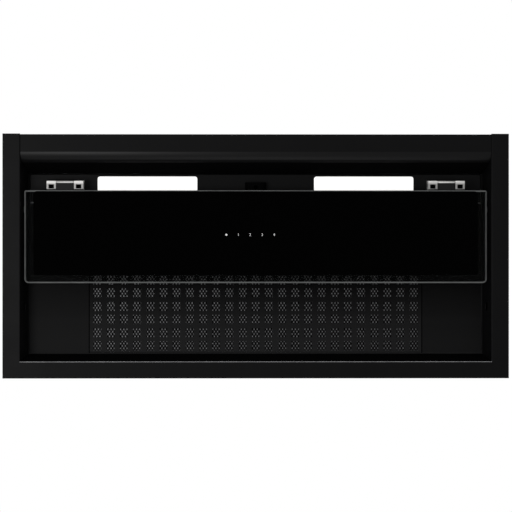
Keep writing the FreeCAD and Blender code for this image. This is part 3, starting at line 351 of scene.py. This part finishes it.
# the trim's roll is glossy where it leaves the strip and fades to a dull slope
slope_share = 0.3
slope_low = slope_share * trim_high.z
trim = nodes["front_trim"].data
refinish(
    trim, gloss_mat,
    lambda face: on_roll(face) and roll_start_share < face.normal.y < roll_gloss_share)
refinish(
    trim, dim_mat,
    lambda face: on_roll(face) and roll_gloss_share < face.normal.y < roll_dim_share)
refinish(
    trim, matte_mat,
    lambda face: on_roll(face) and face.normal.y > roll_dim_share
    or face.center.z > slope_low and face.normal.y > wall_share)

# the boot is dull all over; the foot of the casing, where the trim's seams show it, is painted dull black as
# the shade in those seams
foot_height = 3.0 * MM
foot_depth = 20.0 * MM
refinish(nodes["cable_boot"].data, matte_mat, lambda face: True)
refinish(
    nodes["lower_casing"].data, matte_mat,
    lambda face: (face.normal.z < -flat_share or abs(face.normal.x) > flat_share)
    and face.center.z < foot_height and face.center.y < trim_low.y + foot_depth)

# the recess has a painted highlight on its rear lip, dull side bends, a roof with the flap's shadow painted
# in, and a dull rear wall
lip_height = 1.1 * MM
lip_reach = 24.5 * MM
wall_foot = 2.0 * MM
recess_middle = tub_high.z / 2
tub = nodes["canopy_tub"].data
# painted highlight on the rear lip's round
refinish(
    tub, lip_highlight_mat,
    lambda face: face.center.y > tub_high.y - lip_reach and face.center.z < lip_height
    and face.normal.y < -bend_start_share and face.normal.z < -lip_share)
refinish(
    tub, bend_mat,
    lambda face: face.center.z > recess_middle
    and bend_start_share < abs(face.normal.x) < level_share and face.normal.z < -down_share)
refinish(
    tub, roof_shadow_mat,
    lambda face: face.center.z > recess_middle
    and (face.normal.z < -level_share
         or face.center.y > 0 and -wall_share < face.normal.y < -bend_start_share))
refinish(
    tub, matte_mat,
    lambda face: face.center.z > wall_foot and face.center.y > 0 and face.normal.y < -wall_share)

# the lamp panel's rear bend carries a painted highlight in pale metal
channel_bend = 1.6 * MM
refinish(
    nodes["light_channel"].data, bend_highlight_mat,
    lambda face: face.center.y > channel_high.y - channel_bend
    and face.normal.y > bend_start_share and face.normal.z < -down_share)

# pockets of a hinge base, from its pin, its underside and its nearer end
pocket_front = 1.6 * MM
pocket_rear = 6.7 * MM
pocket_low = 0.4 * MM
pocket_high = 11.2 * MM
pocket_side = 1.5 * MM
pocket_end = 11.0 * MM
hinge_plate = 4.0 * MM
barrel_reach = 3.2 * MM


def in_pocket(point, pin, low, high):
    """Whether a point lies in one of the two pockets of a hinge base."""
    from_end = min(abs(point.x - low.x), abs(point.x - high.x))
    return (
        pin.y + pocket_front < point.y < pin.y + pocket_rear
        and low.z + pocket_low < point.z < low.z + pocket_high
        and pocket_side < from_end < pocket_end)


# a hinge has shade painted dark in its pockets and under its plate, and its leaf is black but for the barrel
for side in ("left", "right"):
    pin = sum(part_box("hinge_pin_" + side), Vector()) / 2
    base_low, base_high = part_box("hinge_base_" + side)
    refinish(
        nodes["hinge_base_" + side].data, mats["rubber"],
        lambda face: in_pocket(face.center, pin, base_low, base_high)
        or face.normal.z < -flat_share and face.center.z > base_high.z - hinge_plate)
    refinish(
        nodes["hinge_leaf_" + side].data, mats["backing_steel"],
        lambda face: math.hypot(face.center.y - pin.y, face.center.z - pin.z) > barrel_reach)

# rounds on the sharp edges of the pieces
weld_gap = 0.002 * MM
edge_segments = 2
edge_angle = math.radians(35.0)
edge_rounds = {
    "light_channel": 0.20 * MM,
    "front_trim": 0.25 * MM,
    "trim_nuts": 0.25 * MM,
    "backdraft_flap_front": 0.25 * MM,
    "backdraft_flap_rear": 0.25 * MM,
    "motor_box": 0.30 * MM,
    "filter_latch": 0.30 * MM,
    "hinge_leaf_left": 0.30 * MM,
    "hinge_leaf_right": 0.30 * MM,
    "hinge_base_left": 0.35 * MM,
    "hinge_base_right": 0.35 * MM,
    "duct_collar": 0.40 * MM,
    "cable_gland": 0.40 * MM,
    "control_box_base": 0.40 * MM,
    "terminal_block": 0.40 * MM,
    "motor_bracket": 0.40 * MM,
    "touch_housing": 0.50 * MM,
    "control_box_lid": 0.50 * MM,
    "motor_box_screws": 0.50 * MM,
    "collar_screws": 0.50 * MM,
    "cable_boot": 0.60 * MM,
}
for name, width in edge_rounds.items():
    weld = nodes[name].modifiers.new("weld", "WELD")
    weld.merge_threshold = weld_gap
    bevel = nodes[name].modifiers.new("edge", "BEVEL")
    bevel.width = width
    bevel.segments = edge_segments
    bevel.limit_method = "ANGLE"
    bevel.angle_limit = edge_angle


def new_object(name, mesh, slot, body, mat=None):
    """Link a mesh as a piece that rides on a body."""
    obj = bpy.data.objects.new(name, mesh)
    bpy.context.scene.collection.objects.link(obj)
    mesh.materials.append(mat or mats[slot])
    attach(obj, body)
    return obj


def made_mesh(bm, name):
    """Turn worked geometry into a mesh."""
    mesh = bpy.data.meshes.new(name)
    bm.to_mesh(mesh)
    bm.free()
    return mesh


def band(bm, ring, after):
    """Faces between two rings of points."""
    count = len(ring)
    return [
        bm.faces.new((ring[k], ring[(k + 1) % count], after[(k + 1) % count], after[k]))
        for k in range(count)]


def loft(name, rings):
    """Closed skin through rings of points."""
    bm = bmesh.new()
    rings = [[bm.verts.new(point) for point in ring] for ring in rings]
    bm.faces.new(rings[0][::-1])
    bm.faces.new(rings[-1])
    for ring, after in zip(rings, rings[1:]):
        band(bm, ring, after)
    bmesh.ops.recalc_face_normals(bm, faces=bm.faces)
    return made_mesh(bm, name)


def plate(name, levels):
    """Closed plate through outlines at rising heights."""
    return loft(name, [[(x, y, z) for x, y in outline] for outline, z in levels])


# the filter's mesh keeps clear of the cassette's rim and of the latch guide
mesh_inset = Vector((0.3 * MM, 0.3 * MM, 0))
notch_gap = 0.5 * MM
notch_x = guide_high.x + notch_gap
notch_y = guide_high.y + notch_gap
strand_thick = 0.5 * MM
knot_share = 0.5


def strand_bar(bm, rings):
    """Closed three-sided bar; its spans are knots and legs by turns."""
    bm.faces.new(rings[0][0][::-1])
    for (ring, _), (after, ends_knot) in zip(rings, rings[1:]):
        for face in band(bm, ring, after):
            face.material_index = 0 if ends_knot else 1
    bm.faces.new(rings[-1][0])


def lattice(name, z, cell_x, cell_y, strand):
    """Expanded mesh: zigzag strands along X with flat knots where they meet, clear of the notch."""
    bm = bmesh.new()
    low = mesh_low + mesh_inset
    high = mesh_high - mesh_inset
    rows = max(1, round((high.y - low.y) / cell_y))
    cols = max(1, round((high.x - low.x) / (cell_x / 2)))
    step_x = (high.x - low.x) / cols
    step_y = (high.y - low.y) / rows
    half = strand / 2
    knot_half = step_x * knot_share / 2
    for row in range(rows):
        middle = low.y + (row + 0.5) * step_y
        rings = []
        for col in range(1, cols):
            way = 1 if (col + row) % 2 else -1
            y = middle + way * (step_y / 2 - half)
            for end in (-1, 1):
                x = low.x + col * step_x + end * knot_half
                if abs(x) < notch_x and y - half < notch_y:
                    if len(rings) > 1:
                        strand_bar(bm, rings)
                    rings = []
                    continue
                points = ((x, y - half, z), (x, y + half, z), (x, y, z + strand_thick))
                rings.append(([bm.verts.new(point) for point in points], end > 0))
        if len(rings) > 1:
            strand_bar(bm, rings)
    loose = [vert for vert in bm.verts if not vert.link_faces]
    bmesh.ops.delete(bm, geom=loose, context="VERTS")
    bmesh.ops.recalc_face_normals(bm, faces=bm.faces)
    return made_mesh(bm, name)


def weave(name, rise, cell_x, cell_y, strand, knot_finish, leg_shade):
    """One layer of the filter's mesh, at a height above the underside of its slab."""
    mesh = lattice(name, mesh_low.z + rise, cell_x, cell_y, strand)
    layer = new_object(name, mesh, "filter_mesh", "hood", knot_finish)
    mesh.materials.append(leg_shade)
    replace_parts(layer, "filter_mesh")


mesh_room = mesh_high.z - mesh_low.z
deep_share = 0.45
back_share = 0.80
# the front layer's legs and both deeper layers carry painted shade
weave(
    "filter_weave_front", rise=0.05 * MM, cell_x=3.8 * MM, cell_y=2.85 * MM, strand=0.75 * MM,
    knot_finish=mats["filter_mesh"], leg_shade=leg_shade_mat)
weave(
    "filter_weave_deep", rise=mesh_room * deep_share, cell_x=8.0 * MM, cell_y=4.4 * MM, strand=2.6 * MM,
    knot_finish=deep_shade_mat, leg_shade=deep_shade_mat)
weave(
    "filter_weave_back", rise=mesh_room * back_share, cell_x=10.0 * MM, cell_y=5.0 * MM, strand=3.0 * MM,
    knot_finish=deep_shade_mat, leg_shade=deep_shade_mat)

# the latch spring becomes a piece of its own, with its own copy of the mesh
coil = nodes["latch_spring"].data.copy()
coil.materials.clear()
spring = new_object("latch_coil", coil, "fastener_steel", "hood")
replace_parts(spring, "latch_spring")
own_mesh(spring)

# the flap's pane has sharper corners in front, and a black print under its middle
corner_steps = 6
pane_chamfer = 1.6 * MM
pane_front_round = 2.0 * MM
pane_rear_round = 5.0 * MM
print_round = 4.0 * MM
print_thick = 0.02 * MM


def rounded_outline(low, high, front_round, rear_round, inset=0.0):
    """Rectangle seen from above with rounded corners, drawn in by an inset."""
    points = []
    for x_way, y_way, radius, start in (
        (1, 1, rear_round, 0), (-1, 1, rear_round, 90),
        (-1, -1, front_round, 180), (1, -1, front_round, 270),
    ):
        x = (high.x if x_way > 0 else low.x) - x_way * radius
        y = (high.y if y_way > 0 else low.y) - y_way * radius
        reach = radius - inset
        for k in range(corner_steps + 1):
            turn = math.radians(start + 90.0 * k / corner_steps)
            points.append((x + reach * math.cos(turn), y + reach * math.sin(turn)))
    return points


full = rounded_outline(glass_low, glass_high, pane_front_round, pane_rear_round)
drawn_in = rounded_outline(glass_low, glass_high, pane_front_round, pane_rear_round, pane_chamfer)
pane = plate("flap_pane", (
    (drawn_in, glass_low.z), (full, glass_low.z + pane_chamfer),
    (full, glass_high.z - pane_chamfer), (drawn_in, glass_high.z)))
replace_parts(new_object("flap_pane", pane, "flap_glass", "glass_flap"), "flap_glass")
refinish(pane, edge_mat, lambda face: abs(face.normal.z) < pane_flat_share)

border = rounded_outline(film_low, film_high, print_round, print_round)
printed = plate("flap_print", ((border, glass_low.z - print_thick), (border, glass_low.z)))
new_object("flap_print", printed, "flap_film", "glass_flap")

# thin dull black beads lie in the seams beside the filter cassette as painted shade of those seams
bead_half = 0.6 * MM
bead_proud = 0.25 * MM
bead_steps = 6
for name, seam_x in (("filter_seal_left", cover_low.x), ("filter_seal_right", cover_high.x)):
    section = []
    for k in range(bead_steps + 1):
        turn = math.pi * k / bead_steps
        section.append((seam_x + bead_half * math.cos(turn), cover_low.z - bead_proud * math.sin(turn)))
    bead = loft(name, [[(x, y, z) for x, z in section] for y in (cover_low.y, cover_high.y)])
    new_object(name, bead, "rubber", "hood", matte_mat)

# touch marks on the pane: four numbers and a dot
mark_back = 52.6 * MM
mark_size = 4.4 * MM
mark_half_thick = 0.02 * MM
mark_y = glass_low.y + mark_back
mark_z = glass_low.z - print_thick - mark_half_thick
number_places = {"1": -20.8 * MM, "2": -6.9 * MM, "3": 7.5 * MM, "4": 21.6 * MM}
dot_x = -35.0 * MM
dot_radius = 1.25 * MM
dot_steps = 20
for text, x in number_places.items():
    curve = bpy.data.curves.new("mark_" + text, "FONT")
    curve.body = text
    curve.size = mark_size
    curve.align_x = "CENTER"
    curve.align_y = "CENTER"
    curve.extrude = mark_half_thick
    written = bpy.data.objects.new("mark_" + text, curve)
    bpy.context.scene.collection.objects.link(written)
    bpy.context.view_layer.update()
    number = bpy.data.meshes.new_from_object(written)
    bpy.data.objects.remove(written)
    for vert in number.vertices:
        vert.co = Vector((x + vert.co.x, mark_y - vert.co.y, mark_z - vert.co.z))
    number.materials.clear()
    new_object("mark_" + text, number, "flap_film", "glass_flap", mark_mat)
bm = bmesh.new()
bmesh.ops.create_cone(
    bm, cap_ends=True, segments=dot_steps, radius1=dot_radius, radius2=dot_radius, depth=2 * mark_half_thick)
bmesh.ops.translate(bm, verts=bm.verts, vec=(dot_x, mark_y, mark_z))
new_object("mark_dot", made_mesh(bm, "mark_dot"), "flap_film", "glass_flap", mark_mat)

# pale floor, far below so that the camera has room to look up
floor_size = 40.0
floor_drop = 3.2
bpy.ops.mesh.primitive_plane_add(size=floor_size, location=(0, 0, -floor_drop))
floor = bpy.context.object
floor.name = "floor"
floor.data.materials.append(material("floor_pale", 0.80, rough=0.8))


def studio_world(fill_strength):
    """White where the camera, gloss or glass looks, and a softer fill as light."""
    world = bpy.data.worlds.new("studio")
    world.use_nodes = True
    tree = world.node_tree
    tree.nodes.clear()
    out = tree.nodes.new("ShaderNodeOutputWorld")
    seen = tree.nodes.new("ShaderNodeBackground")
    fill = tree.nodes.new("ShaderNodeBackground")
    for light, strength in ((seen, 1.0), (fill, fill_strength)):
        light.inputs["Color"].default_value = rgba(1.0)
        light.inputs["Strength"].default_value = strength
    path = tree.nodes.new("ShaderNodeLightPath")
    looks = path.outputs["Is Camera Ray"]
    for ray in ("Is Glossy Ray", "Is Transmission Ray"):
        either = tree.nodes.new("ShaderNodeMath")
        either.operation = "MAXIMUM"
        tree.links.new(looks, either.inputs[0])
        tree.links.new(path.outputs[ray], either.inputs[1])
        looks = either.outputs[0]
    mix = tree.nodes.new("ShaderNodeMixShader")
    tree.links.new(looks, mix.inputs["Fac"])
    tree.links.new(fill.outputs[0], mix.inputs[1])
    tree.links.new(seen.outputs[0], mix.inputs[2])
    tree.links.new(mix.outputs[0], out.inputs["Surface"])
    bpy.context.scene.world = world


def facing(forward, right):
    """Turn of a lamp or camera that looks forward, with its right side given."""
    up = right.cross(forward)
    return Matrix((right, up, -forward)).transposed().to_quaternion()


def soft_lamp(name, shape, location, rotation, size, power):
    """Area lamp at a place."""
    data = bpy.data.lights.new(name, "AREA")
    data.shape = shape
    data.size = size
    data.energy = power
    lamp = bpy.data.objects.new(name, data)
    bpy.context.scene.collection.objects.link(lamp)
    lamp.location = location
    lamp.rotation_mode = "QUATERNION"
    lamp.rotation_quaternion = rotation
    return data


def square_lamp(name, location, target, size, power):
    """Soft square lamp aimed at a point."""
    aim = Vector(target) - Vector(location)
    soft_lamp(name, "SQUARE", location, aim.to_track_quat("-Z", "Y"), size, power)


def strip_lamp(name, location, target, length, width, power):
    """Long soft lamp that lies along X, aimed at a point."""
    aim = (Vector(target) - Vector(location)).normalized()
    data = soft_lamp(name, "RECTANGLE", location, facing(aim, Vector((1, 0, 0))), length, power)
    data.size_y = width


# two strips light the bends in front and behind, a key lights the left and a soft lamp the casing
strip_reach = 1.1
strip_drop = 0.75
strip_aim = 0.12
strip_length = 1.2
strip_width = 0.08
studio_world(fill_strength=0.55)
strip_lamp(
    "strip_front", location=(0, -strip_reach, -strip_drop), target=(0, strip_aim, 0),
    length=strip_length, width=strip_width, power=2.6)
strip_lamp(
    "strip_rear", location=(0, strip_reach, -strip_drop), target=(0, -strip_aim, 0),
    length=strip_length, width=strip_width, power=1.5)
square_lamp("key_left", location=(-0.90, 0.10, -1.60), target=(0, 0, 0), size=0.5, power=8.0)
square_lamp("top_soft", location=(1.4, -1.6, 2.2), target=(0, 0, 0.15), size=2.2, power=26.0)

# the camera looks up from below, a little from the left, with the front at the top of the picture
camera_distance = 2.5
camera_side = -30.0 * MM
picture_width = 604.5 * MM
sensor_width = 36.0
camera_data = bpy.data.cameras.new("camera")
camera_data.sensor_width = sensor_width
camera_data.lens = sensor_width * camera_distance / picture_width
camera = bpy.data.objects.new("camera", camera_data)
bpy.context.scene.collection.objects.link(camera)
camera.location = (camera_side, 0, -camera_distance)
look = -Vector(camera.location).normalized()
camera.rotation_mode = "QUATERNION"
camera.rotation_quaternion = facing(look, look.cross(Vector((0, -1, 0))).normalized())
bpy.context.scene.camera = camera
bpy.context.scene.view_settings.view_transform = "Standard"

bpy.context.view_layer.update()
